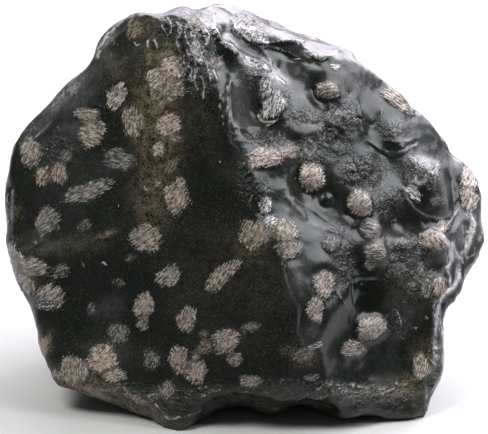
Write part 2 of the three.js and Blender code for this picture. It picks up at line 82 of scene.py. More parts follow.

# Flakes on the front: middle in picture points, half width, half height, turn in degrees
# (counter-clockwise), the way that the needles lie, how far they fan out from the middle, how
# solid the crystal is, and tint.
FRONT_FLAKES = """
133 29 8 11 10 50 0.2 0.45 brown
195 24 10 7 0 0 0.3 0.5 pink
171 68 12 11 0 40 0.3 0.95 light
157 80 10 12 0 40 0.3 0.95 light
172 89 12 10 0 15 0.6 0.85 tan
157 94 6 8 -30 50 0.2 0.7 tan
162 103 6 4 30 45 0.2 0.5 tan
116 96 9 13 -22 55 0.3 0.9 light
132 122 10 15 0 85 0.3 0.95 tan
86 114 12 7 0 -5 0.2 0.9 pink
91 133 13 13 0 -15 0.6 0.95 tan
168 124 12 11 0 30 0.8 0.9 light
174 138 9 3 -20 -20 0.2 0.55 tan
158 149 6 7 0 30 0.5 0.85 light
171 167 6 10 -25 60 0.2 0.6 brown
157 183 3 3 20 20 0.0 0.7 tan
176 198 13 14 0 60 0.4 1.0 tan
180 183 5 7 0 60 0.3 0.9 tan
118 159 15 11 -10 -12 0.3 0.7 grey
30 152 10 16 20 60 0.2 0.85 pink
42 176 7 10 0 70 0.2 0.85 tan
58 173 9 10 0 75 0.3 0.9 tan
65 156 6 6 30 50 0.2 0.5 grey
87 191 24 9 22 28 0.1 0.95 grey pink
47 220 12 14 0 45 0.3 0.95 grey pink
84 225 7 6 30 50 0.1 0.4 grey
145 238 15 14 20 35 0.5 1.0 pink
34 267 13 9 0 18 0.1 0.85 pink
60 271 9 7 30 30 0.1 0.5 grey
50 296 13 12 0 50 0.3 1.0 pink
168 276 12 10 25 40 0.2 0.95 grey pink
222 275 22 8 46 60 0.2 1.0 pink
118 282 7 4 -10 60 0.2 0.4 grey
91 309 5 6 0 60 0.2 0.4 grey
143 305 11 12 0 60 0.7 1.0 pink
142 324 6 6 0 60 0.5 0.7 pink
186 319 9 13 -18 70 0.4 0.95 pink
118 333 10 9 0 65 0.1 0.65 grey pink
225 341 13 12 0 30 0.9 0.95 pink
204 347 8 7 0 40 0.3 0.75 brown
234 359 8 6 0 30 0.4 0.85 pink
203 333 5 4 0 60 0.3 0.35 grey
74 370 14 14 0 80 0.3 1.0 pink
102 359 16 14 0 50 0.8 1.0 tan
113 374 12 8 0 20 0.5 0.95 tan
151 359 8 11 0 70 0.2 0.5 grey
178 359 10 13 0 60 0.8 0.95 pink
195 371 12 11 0 60 0.8 0.95 pink
195 356 4 6 0 60 0.4 0.65 grey pink
167 390 8 9 0 75 0.2 0.65 grey pink
155 395 6 4 0 20 0.2 0.6 pink
250 327 10 5 10 30 0.2 0.5 grey
250 381 12 6 -5 20 0.5 0.75 grey pink
130 258 5 4 0 60 0.2 0.35 olive
47 303 13 6 0 10 0.2 0.35 pale
254 234 15 15 0 60 0.5 0.95 tan
285 230 13 12 0 55 0.6 0.9 tan
288 249 12 10 0 40 0.3 0.95 pink
265 205 6 8 0 60 0.3 0.8 pale
270 222 9 6 0 30 0.3 0.75 pale
264 157 19 10 4 20 0.9 0.95 light
288 151 10 8 0 20 0.8 0.8 pink
311 177 13 13 0 50 0.9 1.0 light
327 90 11 9 0 20 0.5 0.8 pink
360 203 13 13 0 40 0.8 1.0 pink
397 100 19 7 -33 -35 0.2 0.85 light
335 66 6 3 -10 0 0.2 0.8 pale
216 63 8 6 20 40 0.3 0.6 pink
272 105 11 14 -25 80 0.5 0.8 pale
266 88 9 12 -15 75 0.3 0.5 pale
250 30 19 9 -38 60 0.3 0.45 pale
308 152 10 9 0 60 0.4 0.5 grey
308 117 10 6 0 85 0.5 0.4 grey
333 117 10 8 0 60 0.5 0.5 grey
371 229 10 9 0 -15 0.2 0.75 grey pink
375 252 11 8 0 -6 0.1 0.8 grey pink
370 264 6 5 0 30 0.3 0.5 tan
331 243 8 8 0 80 0.5 0.65 grey
401 240 10 6 0 60 0.3 0.6 grey pink
393 257 4 4 0 60 0.3 0.45 grey
432 241 12 10 0 -50 0.1 0.9 tan
444 225 6 6 0 60 0.3 0.85 white
470 176 10 14 -15 60 0.3 1.0 light
468 198 9 12 0 60 0.3 0.95 light
324 284 11 12 0 50 0.6 0.95 pink
314 310 8 13 0 60 0.5 0.95 pink
371 327 15 12 8 40 0.8 1.0 pink
353 349 11 8 0 10 0.4 0.8 pink
304 355 10 7 20 30 0.3 0.8 olive
315 345 8 3 15 15 0.1 0.6 pale
312 377 8 4 0 20 0.3 0.4 grey
420 367 8 12 0 70 0.2 0.85 tan
425 288 6 9 0 80 0.2 0.65 grey pink
438 286 8 9 0 85 0.1 0.85 tan
413 193 10 5 -40 -40 0.2 0.55 pale
436 200 7 5 0 20 0.3 0.55 grey
420 268 4 6 0 60 0.2 0.45 grey
408 160 6 5 0 60 0.3 0.3 grey
427 168 7 6 0 60 0.3 0.3 grey
411 285 4 3 0 60 0.2 0.5 grey
430 275 4 3 0 60 0.2 0.4 grey
"""

TINTS = {
    "tan": (0.235, 0.190, 0.155), "light": (0.325, 0.265, 0.235), "pink": (0.210, 0.173, 0.150),
    "grey pink": (0.180, 0.160, 0.148), "pale": (0.44, 0.405, 0.425), "grey": (0.142, 0.139, 0.130),
    "olive": (0.135, 0.115, 0.080), "brown": (0.135, 0.108, 0.082), "white": (0.34, 0.29, 0.26),
}

# Fine relief of the front, in picture points. A positive height stands up, a negative one is cut in.
# Crests and creases: height in mm, half width in points, how white the crest is painted, part worn
# chalk and part a painted highlight along the crest, and the lines that have these, each written as
# the points that it runs through.
LINES = [
    # the knife edges along the top
    (0.6, 2.0, 0.75, ["213,14 214,26 217,34 222,42 230,49 238,54 248,60 258,64 266,70"]),
    (0.25, 1.4, 0.8, ["262,66 270,73 277,78 283,84"]),
    (0.3, 1.6, 0.64, ["226,44 236,49 246,55 256,59 265,66"]),
    (0.5, 1.5, 0.75, ["231,17 236,26 241,33 247,39 254,42 263,43"]),
    (0.5, 1.8, 0.75, ["262,43 280,41 292,42 301,45 307,50 313,56 320,59"]),
    (0.4, 1.7, 0.75, ["313,55 322,58 331,56 338,50 344,46"]),
    (0.2, 1.2, 0.56, ["255,42 262,48 267,55 270,62 274,70"]),
    (0.2, 1.2, 0.48, ["262,46 272,47 284,50 294,54 303,59"]),
    (0.3, 1.8, 0.52, ["201,13 208,9 216,6 224,8 232,13"]),
    (0.3, 1.8, 0.42, ["160,14 170,14 181,17 192,17 201,13"]),
    (0.4, 1.5, 0.50, ["147,14 155,18 164,22 172,25"]),
    (0.3, 1.4, 0.42, ["160,20 168,21 176,19 186,20 197,19"]),
    (-0.7, 3.2, 0, ["212,18 212,30 214,42 217,52 220,60"]),
    (-0.5, 2.6, 0, ["268,49 280,53 292,58 304,62 318,65"]),
    (-0.35, 2.2, 0, ["240,13 255,17 270,23 284,31 296,37"]),
    (-0.35, 2.0, 0, ["276,18 292,27 308,34 324,41"]),
    (0.25, 1.6, 0.5, ["232,12 248,17 264,24 280,33 296,40"]),
    (-0.3, 2.0, 0, ["304,46 314,50 326,52 336,48"]),
    # the fibrous ridge left of the notch
    (0.45, 1.2, 1.0, ["199,18 203,23 206,29 209,36 206,43 202,50 200,57 198,64 197,72"]),
    (0.45, 1.05, 1.1, ["190,38 193,44 196,50 197,57 198,63"]),
    (0.3, 1.05, 0.95, [
        "186,24 184,33 187,41 191,49 194,57 196,66", "200,26 203,33 206,40", "178,24 181,30 178,37",
        "204,46 200,52 203,58 200,66", "172,26 180,25 190,28 196,33", "183,62 187,68 184,75",
        "205,62 208,70 210,80", "192,70 190,76 193,82", "176,76 182,80 189,79", "187,22 191,30 190,38",
        "176,22 178,30 176,40 179,50", "195,70 194,80 197,90", "186,50 189,58 188,66",
        "168,18 172,26 170,34",
    ]),
    (0.3, 1.05, 0.9, ["202,78 204,88 202,98", "211,60 213,70 217,80", "160,22 164,30 168,36"]),
    (-0.52, 1.5, 0, ["181,30 180,42 184,54 188,64", "193,30 196,38 200,44"]),
    # the proud lip of the right-hand flow, down to its tongue
    (0.5, 2.4, 0.28, ["229,76 227,95 228,112 229,126 233,139 241,151 247,158"]),
    (0.25, 1.1, 0.56, ["218,88 220,98 219,106 222,114 223,124"]),
    (0.2, 1.0, 0.7, ["222,92 219,98"]),
    (0.2, 1.2, 0.32, ["223,124 227,133 232,143"]),
    (0.4, 1.6, 0.32, ["249,168 254,180 252,192 250,203 253,213 259,219"]),
    (0.4, 1.3, 0.8, ["279,255 282,261 284,268"]),
    (0.2, 1.0, 0.5, ["284,268 287,280 291,293", "345,262 349,274 351,288"]),
    (0.3, 1.4, 0.28, ["291,293 298,304 300,318 298,330 302,341"]),
    (0.2, 1.2, 0.36, ["333,288 340,298 347,308 351,320"]),
    (0.25, 1.3, 0.28, ["340,232 343,246 346,259"]),
    # the swoosh and the soft bands beside it
    (0.5, 3.4, 0.2, ["282,189 288,199 296,209 305,217 315,225 326,230"]),
    (0.3, 2.4, 0.16, ["326,230 338,234 348,230 357,223 365,215"]),
    (0.2, 2.0, 0.12, ["292,199 304,205 316,212 326,221"]),
    (0.3, 2.2, 0.16, ["232,127 243,127 254,127 264,127 274,123 282,117"]),
    (-0.6, 2.2, 0, ["243,133 252,136 262,135"]),
    (0.3, 1.6, 0.24, ["236,141 250,142 264,139 276,137"]),
    # cracks
    (-0.3, 1.5, 0, [
        "350,92 355,102 357,112 359,122 361,131 366,141 374,149 386,157",
        "357,117 365,121 373,124 376,119 379,112",
    ]),
    (0.2, 1.2, 0.24, ["353,95 358,106 361,118"]),
    (0.2, 1.2, 0.32, ["364,131 370,141 379,149"]),
    (0.2, 1.0, 0.4, ["381,112 378,121 374,126"]),
    (-0.2, 1.5, 0, ["386,149 396,150 406,147 415,142"]),
    (0.15, 1.1, 0.3, ["384,140 396,142 408,140 418,138"]),
    (0.15, 1.1, 0.35, ["384,158 396,155 406,150 417,144"]),
    (-0.6, 2.0, 0, ["433,168 431,178 429,187 427,196"]),
    (0.3, 1.3, 0.4, ["436,170 434,181 431,191"]),
    (-0.4, 1.6, 0, ["243,152 247,162 245,174 249,186"]),
    (0.2, 1.0, 0.5, ["246,152 250,162 248,172"]),
    (-0.4, 1.8, 0, ["268,196 263,204 259,212"]),
    (-0.3, 1.3, 0, ["35,240 33,228 36,219"]),
    # moats under the standing flakes
    (-0.3, 5.0, 0, ["312,91 316,98 323,102 332,102"]),
    (-0.35, 5.0, 0, ["296,172 296,182 302,190 311,193"]),
    (-0.4, 3.0, 0, ["347,214 357,219 369,216", "387,318 390,328 386,338"]),
    (-0.5, 3.0, 0, ["418,236 420,248 430,254"]),
    # the dome on the right and the rims of the right edge
    (0.35, 1.4, 0.4, ["403,186 407,198 415,209 427,216 440,218 451,212"]),
    (0.25, 1.4, 0.24, ["455,184 456,196 452,208"]),
    (-0.4, 2.2, 0, ["400,192 404,204 412,214 424,221"]),
    (0.4, 2.0, 0.64, [
        "422,233 431,230 440,233 447,241 451,250 452,259 447,267",
        "470,214 474,224 473,235 469,246 463,256 458,264",
    ]),
    (0.4, 1.8, 0.64, ["453,243 457,254 459,266 458,277 452,287 444,294 438,301"]),
    (0.3, 1.6, 0.64, ["438,301 435,310 438,320 438,330 435,341 434,351 433,360 428,369 427,380"]),
    (0.2, 1.2, 0.48, ["459,259 467,257 475,250", "445,268 450,276 448,285"]),
    (0.3, 1.6, 0.4, ["461,163 463,175 462,188 459,202 455,212 448,222"]),
    (-0.5, 1.8, 0, ["442,303 439,313 442,322", "439,338 437,346 440,354"]),
    (0.2, 1.4, 0.32, ["424,384 426,396 426,410"]),
    (-0.5, 2.4, 0, ["463,222 466,234 462,246"]),
    # the striped lower rim
    (0.25, 1.1, 0.6, ["262,384 275,380 286,379 298,380", "375,395 386,391 396,387 405,384 413,381"]),
    (0.2, 1.1, 0.54, [
        "280,382 288,390 296,398", "295,399 305,394 313,390", "183,401 188,394",
        "200,397 210,393 222,389",
    ]),
    (0.25, 1.1, 0.7, ["312,390 322,386 334,384 346,384 354,385"]),
    (0.2, 1.1, 0.65, [
        "328,393 338,388 349,386 361,387", "316,398 326,394 336,394 346,391", "372,391 384,388 396,383",
        "187,395 191,391 199,388 208,386 221,385", "172,419 181,416 190,414 200,410",
        "100,389 114,392 126,398 138,408 148,418", "108,396 122,401 134,409 146,420",
        "66,382 78,388 90,395",
    ]),
    (0.2, 1.1, 0.43, ["240,392 254,390 268,392"]),
    (0.3, 1.1, 0.7, ["143,388 150,396 157,406 164,415 170,420", "134,383 144,391 152,401"]),
    (0.2, 1.1, 0.72, ["85,385 93,392 104,399", "118,384 128,382 138,385"]),
    (-0.3, 0.9, 0, ["96,387 112,389 128,394 142,404 154,420"]),
    # the left edge
    (0.3, 1.5, 1.1, ["9,243 18,254 25,264 30,276 34,289"]),
    (0.2, 1.4, 1.1, ["11,256 13,268 18,280 27,292"]),
    (0.2, 1.2, 0.48, ["12,250 17,262 22,275 28,288"]),
    (0.2, 1.2, 0.32, ["24,252 33,247 40,240"]),
    (0.2, 2.0, 0.95, ["98,56 99,48 104,40 109,33 116,26 124,19 133,15"]),
    (0.2, 1.0, 0.4, ["109,42 111,50 110,58"]),
    (0.2, 1.4, 0.56, ["39,338 42,348 46,357"]),
    (0.1, 1.0, 0.5, ["34,138 40,132 45,126", "92,103 100,105 108,109", "98,116 106,113 113,108"]),
    (0.1, 1.0, 0.6, ["52,127 54,134", "57,126 59,133"]),
    # small white nicks
    (0.1, 1.2, 1.2, ["134,42 136,45 139,44", "154,40 156,44 157,47"]),
    (0.1, 1.3, 1.2, ["147,40 147,44 148,47", "102,262 106,264"]),
    (0.1, 1.4, 1.2, ["144,186 145,189"]),
    (0.1, 1.2, 0.8, ["219,161 220,162", "318,87 319,88"]),
    (0.1, 1.0, 1, ["349,339 350,340"]),
    (0.1, 1.0, 0.9, ["397,312 399,318 402,325"]),
    (0.1, 1.0, 0.8, [
        "398,333 401,338", "415,298 416,300", "404,301 405,302", "118,205 118,206", "370,85 370,86",
    ]),
    (0.1, 1.0, 0.7, [
        "409,324 414,328 419,326", "424,313 427,319", "82,262 84,268", "376,84 377,85", "287,349 289,350",
    ]),
]

# Scarps: how much higher the right side of a line is that runs down the picture, over how many points
# that fades, and the line.
SCARPS = [
    (0.8, 11, "222,66 228,78 227,95 228,112 229,126 233,139 241,151 249,160"),
    (0.6, 9, "249,168 254,180 252,192 250,203 255,215"),
    (0.8, 12, "276,250 282,260 285,270 289,282 294,295 300,307 300,320 299,333 303,344"),
    (-0.45, 16, "345,240 345,256 348,268 350,282 353,300 356,322"),
    (0.4, 9, "382,270 383,280 383,292 381,310"), (-0.9, 22, "398,284 384,280 372,278 360,278 346,280"),
    (-0.15, 8, "392,260 382,264 370,267 358,266 346,262"),
    (0.7, 12, "262,43 276,43 290,43 303,46 312,52 322,58 334,57 342,48"),
    (0.6, 10, "214,24 217,34 222,42 238,53 258,64 272,72 282,80"),
]

# Round forms: middle, half width, half height, turn, height in mm, and how steep the wall is.
KNOBS = [
    (257, 107, 8, 15, 5, -0.5, 1.0), (371, 331, 15, 11, 0, 0.4, 1.4), (272, 101, 12, 20, -15, 0.35, 1.0),
    (247, 100, 18, 24, 0, -0.5, 1.1), (232, 33, 11, 9, 30, -0.9, 1.3), (253, 52, 13, 6, -25, -0.55, 1.2),
    (250, 69, 4, 3.5, 0, -0.3, 1.4), (275, 64, 4, 5, 0, -0.3, 1.4), (300, 56, 24, 7, -12, -0.45, 1.1),
    (302, 74, 14, 14, 0, 1.1, 1.0), (277, 23, 13, 4.5, -24, -0.8, 1.3),
    (306, 36, 10, 3.5, -22, -0.6, 1.3), (182, 11, 12, 3.5, 0, -0.6, 1.3), (228, 27, 9, 8, 30, -0.6, 1.2),
    (303, 131, 15, 9, 0, 0.6, 1.6), (372, 247, 17, 14, 0, 0.6, 1.2), (397, 222, 12, 16, 20, -0.8, 1.2),
    (404, 180, 10, 15, 10, -0.7, 1.2), (374, 70, 16, 10, -35, 0.4, 1.0), (396, 268, 13, 11, 0, 0.3, 1.2),
    (372, 132, 12, 10, -30, -0.25, 1.1), (320, 262, 10, 9, 0, 0.3, 1.2), (290, 285, 8, 14, 15, 0.3, 1.2),
    (452, 190, 5, 16, 0, -0.4, 1.2), (465, 232, 6, 12, 0, -0.8, 1.6), (466, 268, 6, 8, 0, -0.5, 1.4),
    (434, 268, 8, 9, 0, -0.8, 1.5), (436, 172, 9, 8, 0, 0.3, 1.3), (433, 241, 13, 11, 0, 0.5, 1.5),
    (110, 315, 26, 20, 20, -0.3, 1.0), (60, 250, 40, 8, 20, 0.2, 1.1), (311, 177, 13, 12, 0, 0.5, 1.5),
    (327, 91, 11, 9, 0, 0.4, 1.5), (326, 199, 4, 4, 0, 0.35, 1.2), (424, 285, 8, 11, 0, 0.3, 1.3),
    (349, 53, 7, 9, 0, 0.3, 1.6), (22, 272, 6, 20, 22, -0.5, 1.2), (300, 330, 10, 12, 0, 0.25, 1.2),
]

# Rings left where a crystal has dropped out: middle, radius, height in mm.
RINGS = [
    (326, 199, 8.0, -0.5), (333, 136, 9, -0.4), (366, 171, 7.0, -0.4), (378, 177, 5.0, -0.4),
    (172, 262, 10, -0.12), (80, 335, 9, -0.12), (433, 197, 17, 0.15), (339, 124, 5, -0.3),
    (312, 150, 6, -0.3), (280, 64, 5, -0.2),
]

# Rims worn to a soft grey, which also paint sheen along edges and ridges that catch the light: half
# width in points, strength, and the points of the line.
RIMS_AND_SHEENS = [
    (3.0, 1.30, "467,213 472,221 473,231 470,242 464,251 456,256"),
    (2.4, 1.25, "452,243 456,254 458,266 458,277 452,287 444,293"),
    (2.2, 1.50, "424,234 431,231 440,233 446,241 450,250 451,259 446,267"),
    (1.4, 0.9, "458,262 466,260 474,254"), (1.8, 1.25, "444,293 438,303 435,314 436,326"),
    (2.0, 1.35, "436,326 435,340 434,352 433,362 429,371"),
    (1.8, 0.9, "443,330 443,350 442,368 437,382 429,392"), (1.4, 0.9, "445,268 449,276 449,286"),
    (1.6, 1.0, "459,206 455,214 449,221"), (1.2, 0.9, "440,306 440,318 443,330"),
    (2.0, 0.95, "97,57 98,47 103,38 109,31 116,24 125,17"), (1.2, 0.8, "28,148 33,138 41,130 50,122"),
    (1.4, 0.6, "12,190 11,203 12,216 11,230"), (2.0, 0.9, "478,178 482,192 484,206 484,222 480,240"),
    (1.0, 0.7, "403,186 407,198 415,209 427,216 440,218 451,212"),
    (3.0, 0.3, "288,199 300,212 314,224 328,231"), (1.2, 0.8, "425,386 425,398 427,410"),
    (1.0, 0.5, "228,80 227,95 228,112 229,126 233,139"), (0.8, 0.55, "284,268 287,280 291,293"),
    (0.8, 0.45, "298,304 300,318 298,330 302,342"),
]

# Rough, scratched patches: middle, half width, half height, turn, strength.
ROUGH = [
    (192, 46, 18, 32, 0, 1.0), (196, 82, 14, 12, 0, 0.7), (163, 26, 14, 7, -20, 0.8),
    (336, 130, 14, 24, -20, 1.0), (364, 172, 18, 14, 0, 1.0), (308, 150, 12, 11, 0, 1.0),
    (264, 140, 20, 8, 0, 0.6), (246, 176, 8, 22, 0, 0.9), (256, 76, 10, 12, -20, 0.9),
    (305, 117, 15, 7, 0, 0.8), (392, 204, 12, 14, 0, 0.7), (410, 168, 14, 10, 0, 0.5),
    (262, 195, 8, 14, 0, 0.5), (250, 28, 18, 10, -35, 0.8), (60, 150, 14, 12, 0, 0.3),
    (434, 180, 8, 14, 10, 0.5), (300, 350, 12, 9, 0, 0.8), (435, 350, 6, 24, 0, 0.7),
    (350, 395, 60, 8, 0, 0.45), (230, 395, 50, 8, 0, 0.35), (120, 395, 40, 8, -25, 0.9),
    (20, 270, 10, 30, 15, 0.8), (425, 280, 14, 14, 0, 0.4), (400, 320, 12, 18, 0, 0.3),
    (300, 385, 30, 6, 0, 0.6), (165, 395, 16, 14, 0, 0.4), (288, 350, 8, 6, 0, 0.8),
    (335, 238, 12, 14, 0, 0.3), (406, 256, 20, 18, 0, 0.42), (346, 262, 8, 18, 0, 0.40),
    (392, 128, 12, 8, -20, 0.35), (286, 100, 6, 12, 0, 0.3),
]

# Brown and reddish film: middle, half width, half height, turn, strength.
STAINS = [
    (155, 118, 23, 60, 3, 0.95), (152, 190, 20, 42, 0, 0.65), (200, 120, 24, 40, 0, 0.14),
    (43, 348, 7, 16, -22, 1.0), (28, 280, 9, 18, 20, 0.55), (18, 262, 8, 22, 20, 0.45),
    (100, 395, 50, 12, -24, 1.0), (165, 52, 26, 12, 0, 0.6), (150, 60, 8, 14, 0, 1.1),
    (165, 53, 12, 5, 20, 1.1), (215, 275, 40, 50, 0, 0.10), (60, 246, 50, 10, 5, 0.26),
    (104, 235, 13, 3, 25, 1.2), (265, 290, 24, 40, 0, 0.12), (350, 395, 90, 8, 2, 0.24),
    (120, 398, 46, 9, -25, 1.1), (408, 386, 16, 12, 0, 0.7), (305, 357, 14, 9, 0, 0.8),
    (252, 247, 18, 18, 0, 0.5), (19, 268, 4, 14, 20, 0.8), (15, 212, 8, 8, 0, 0.6),
    (410, 288, 24, 22, 0, 0.2), (425, 360, 14, 20, 0, 0.4), (228, 235, 26, 12, 0, 0.10),
    (145, 26, 16, 12, 0, 0.5), (118, 74, 30, 22, -20, 0.22), (250, 392, 40, 7, 0, 0.22),
    (155, 145, 12, 20, 0, 0.9),
]

# Fresh, mirror-like patches: middle, half width, half height, turn, strength.
GLASSY = [
    (366, 293, 23, 23, 0, 1.3), (364, 268, 16, 9, 0, 1.0), (340, 366, 60, 12, 0, 0.5),
    (400, 330, 30, 30, 0, 0.35), (258, 108, 8, 12, 10, 0.8), (396, 222, 12, 12, 20, 0.6),
    (210, 150, 24, 40, 0, 0.3),
]

# Whitish frosted patches on worn edges, which also paint highlights on edge facets and bands that
# catch the light: middle, half width, half height, turn, strength.
FROST_AND_GLINT = [
    (108, 32, 4, 18, 36, 0.6), (250, 30, 17, 7, -35, 0.60), (60, 376, 18, 5, -32, 0.8),
    (262, 28, 14, 5, -30, 0.42), (30, 128, 14, 6, 38, 0.38), (18, 266, 8, 25, 20, 1.4),
    (6, 215, 3, 28, 0, 0.6), (43, 348, 5, 14, -22, 1.2), (95, 392, 22, 4, -24, 0.95),
    (135, 398, 18, 5, -38, 0.8), (434, 355, 4, 20, 0, 0.8), (436, 310, 4, 14, 10, 0.8),
    (471, 232, 4, 18, -8, 0.8), (450, 250, 4, 12, -20, 0.8), (462, 262, 5, 10, 20, 0.7),
    (308, 150, 9, 8, 0, 0.34), (333, 118, 10, 8, 0, 0.34), (206, 22, 8, 8, 0, 0.6),
    (190, 22, 12, 5, 0, 0.38), (195, 50, 6, 22, -5, 0.7), (255, 72, 8, 6, 0, 0.3),
    (428, 400, 3, 16, 0, 0.3), (68, 378, 12, 4, -20, 0.8), (474, 175, 6, 18, -20, 0.5),
]

# Grey haze where the glass is dusty, which also paints sheen where faces catch soft light and mirror
# the floor: middle, half width, half height, turn, strength.
HAZE_AND_SHEEN = [
    (64, 96, 34, 9, 42, 0.7), (72, 98, 22, 14, 40, 0.42), (40, 122, 24, 8, 40, 0.4),
    (104, 42, 20, 5, 55, 0.6), (106, 308, 16, 12, 30, 0.18), (104, 55, 8, 16, 30, 0.2),
    (300, 216, 22, 8, -40, 0.35), (242, 100, 13, 24, 0, 0.26), (362, 80, 22, 12, -30, 0.4),
    (400, 116, 10, 12, 0, 0.3), (296, 96, 10, 20, 0, 0.22), (296, 280, 12, 24, 0, 0.15),
    (310, 332, 10, 12, 0, 0.25), (330, 232, 20, 8, 0, 0.17), (385, 240, 20, 12, 0, 0.12),
    (466, 232, 14, 32, -8, 0.48), (250, 150, 14, 12, -30, 0.22), (441, 345, 6, 46, 0, 0.4),
    (425, 390, 6, 14, 0, 0.2), (60, 190, 30, 60, 0, 0.06), (425, 155, 24, 14, -40, 0.17),
    (40, 234, 14, 8, 20, 0.17), (115, 165, 20, 10, 0, 0.1), (70, 128, 16, 10, 0, 0.2),
]

# The crest from top to bottom: the right face begins there.
CREST = "200,0 190,60 222,110 235,150 250,200 272,255 290,300 296,345 296,434"

# Flakes of the hidden faces: how many places are tried, their half widths in mm, how far apart
# two of them are, in the sum of their half widths and then in mm more, how stretched they are, how
# far their needles fan out, and their tints and how solid they are, the commoner ones listed twice.
HIDDEN_TRIES = 2600
HIDDEN_SIZES = (1.5, 3.0)
HIDDEN_GAPS, HIDDEN_SPACE = (0.9, 1.7), 1.7
HIDDEN_STRETCH = (0.75, 1.3)
HIDDEN_FANS = (0.1, 0.9)
HIDDEN_TINTS = ["tan", "pink", "pink", "grey pink", "tan", "grey"]
HIDDEN_SOLIDS = [1.0, 0.95, 0.9, 0.9, 0.7, 0.45]

# A flake's uneven rim: depth, number and shift of its waves.
RIM_WAVES = [(0.07, 2, 1.0), (0.06, 3, 1.7), (0.05, 5, 2.3)]

# Soft swells of the surface: width in mm, height in mm and seed.
SWELLS = [(9.0, 0.29, 1), (4.2, 0.18, 2), (1.9, 0.09, 14)]

# Colours of the glass and of what lies on it.
DARK_GLASS, PALE_GLASS = (0.0012, 0.0026, 0.0018, 1), (0.0038, 0.0055, 0.0040, 1)
OLIVE_GRIT = (0.040, 0.042, 0.031, 1)
DARK_FILM, TAN_FILM = (0.056, 0.047, 0.030, 1), (0.285, 0.212, 0.135, 1)
# the haze colours paint dust and also painted sheen on rims and faces that catch soft light
THIN_HAZE_AND_SHEEN, THICK_HAZE_AND_SHEEN = (0.185, 0.180, 0.195, 1), (0.42, 0.38, 0.40, 1)
# the scratch colour paints dust in scratches and also painted highlights on fine ridges
SCRATCH_AND_GLINT = (0.34, 0.325, 0.345, 1)
DARK_LAYER, PALE_SEAM = (0.058, 0.046, 0.031, 1), (0.21, 0.188, 0.170, 1)
# the chalk colours paint worn chalk and also painted highlights on crests and lit edge facets
CHALK_AND_GLINT, BROWN_CHALK_AND_GLINT = (0.36, 0.34, 0.36, 1), (0.25, 0.195, 0.150, 1)
LAYERS_TOP = (0.0105, 0.0070)       # height where the layers of the lower rim fade out and are whole

Flake = namedtuple("Flake", "spot along up out needle across tint fan solid size")


def sighted():
    """The turn from the line of sight's own axes (across, up, toward the eye) to the lump's."""
    return Matrix.Rotation(math.radians(90 - SIGHT_ELEVATION), 3, "X")


def sight_line(x, y):
    """The eye's place and the way that it looks through a picture point."""
    eye = sighted() @ Vector((0, 0, SIGHT_DISTANCE)) + SIGHT_CENTRE
    spot = sighted() @ Vector(((x - MIDDLE[0]) * POINT, (MIDDLE[1] - y) * POINT, 0)) + SIGHT_CENTRE
    return eye, (spot - eye).normalized()


def swing(azimuth, elevation):
    """The direction that lies azimuth degrees to the right of the front and elevation above level."""
    a, e = math.radians(azimuth), math.radians(elevation)
    return Vector((math.sin(a) * math.cos(e), -math.cos(a) * math.cos(e), math.sin(e)))


# Camera, floor and lights

def camera():
    data = bpy.data.cameras.new("front_camera")
    data.sensor_width = 36.0
    data.lens = data.sensor_width * SIGHT_DISTANCE / (PICTURE[0] * POINT)
    data.clip_start = 0.01
    eye = bpy.data.objects.new("front_camera", data)
    eye.location = (SIGHT_CENTRE + swing(0, SIGHT_ELEVATION) * SIGHT_DISTANCE) * MM
    eye.rotation_euler = (math.radians(90 - SIGHT_ELEVATION), 0, 0)
    bpy.context.scene.collection.objects.link(eye)
    bpy.context.scene.camera = eye


def softbox(name, azimuth, elevation, size, watts, tint):
    data = bpy.data.lights.new(name, "AREA")
    data.shape = "RECTANGLE"
    data.size, data.size_y = size
    data.energy = watts
    data.color = tint
    lamp = bpy.data.objects.new(name, data)
    way = swing(azimuth, elevation)
    lamp.location = SIGHT_CENTRE * MM + way * LIGHT_DISTANCE
    lamp.rotation_mode = "QUATERNION"
    lamp.rotation_quaternion = way.to_track_quat("Z", "Y")
    bpy.context.scene.collection.objects.link(lamp)


def floor_paper_painted_shade():
    """White paper with painted shade that greys it toward the viewer, so that the dark front mirrors little
    of it.
    """
    material = bpy.data.materials.new("floor_paper_painted_shade")
    w = Wiring(material)
    # painted shade: the paper greys toward the viewer
    painted_shade = w.step(w.apart(w.node("ShaderNodeTexCoord").outputs["Object"])[1], *PAPER_FADE)
    shader = w.node("ShaderNodeBsdfPrincipled")
    w.join(w.mix(painted_shade, WHITE_PAPER, PAINTED_SHADE_GREY), shader.inputs["Base Color"])
    shader.inputs["Roughness"].default_value = 0.9
    w.join(shader.outputs[0], w.node("ShaderNodeOutputMaterial").inputs["Surface"])
    return material


def room():
    softbox("rear_softbox", azimuth=165, elevation=32, size=(1.3, 0.8), watts=21, tint=(1.0, 0.93, 1.05))
    softbox("right_softbox", azimuth=108, elevation=47, size=(1.6, 1.0), watts=28, tint=(0.93, 0.95, 1.0))
    softbox("left_key", azimuth=-50, elevation=58, size=(0.4, 0.4), watts=9.6, tint=(0.98, 1.0, 0.94))
    world = bpy.data.worlds.new("studio")
    bpy.context.scene.world = world
    world.use_nodes = True
    world.node_tree.nodes["Background"].inputs["Color"].default_value = ROOM_LIGHT
    bm = bmesh.new()
    bmesh.ops.create_grid(bm, x_segments=1, y_segments=1, size=FLOOR_HALF)
    mesh = bpy.data.meshes.new("floor")
    bm.to_mesh(mesh)
    bm.free()
    floor = bpy.data.objects.new("floor", mesh)
    bpy.context.scene.collection.objects.link(floor)
    mesh.materials.append(floor_paper_painted_shade())
    bpy.context.scene.view_settings.view_transform = "Standard"


# The lump's mesh

def settled(lump):
    """Makes the lump's modifiers part of its mesh."""
    old = lump.data
    lump.data = bpy.data.meshes.new_from_object(lump.evaluated_get(bpy.context.evaluated_depsgraph_get()))
    lump.modifiers.clear()
    bpy.data.meshes.remove(old)
    return lump.data


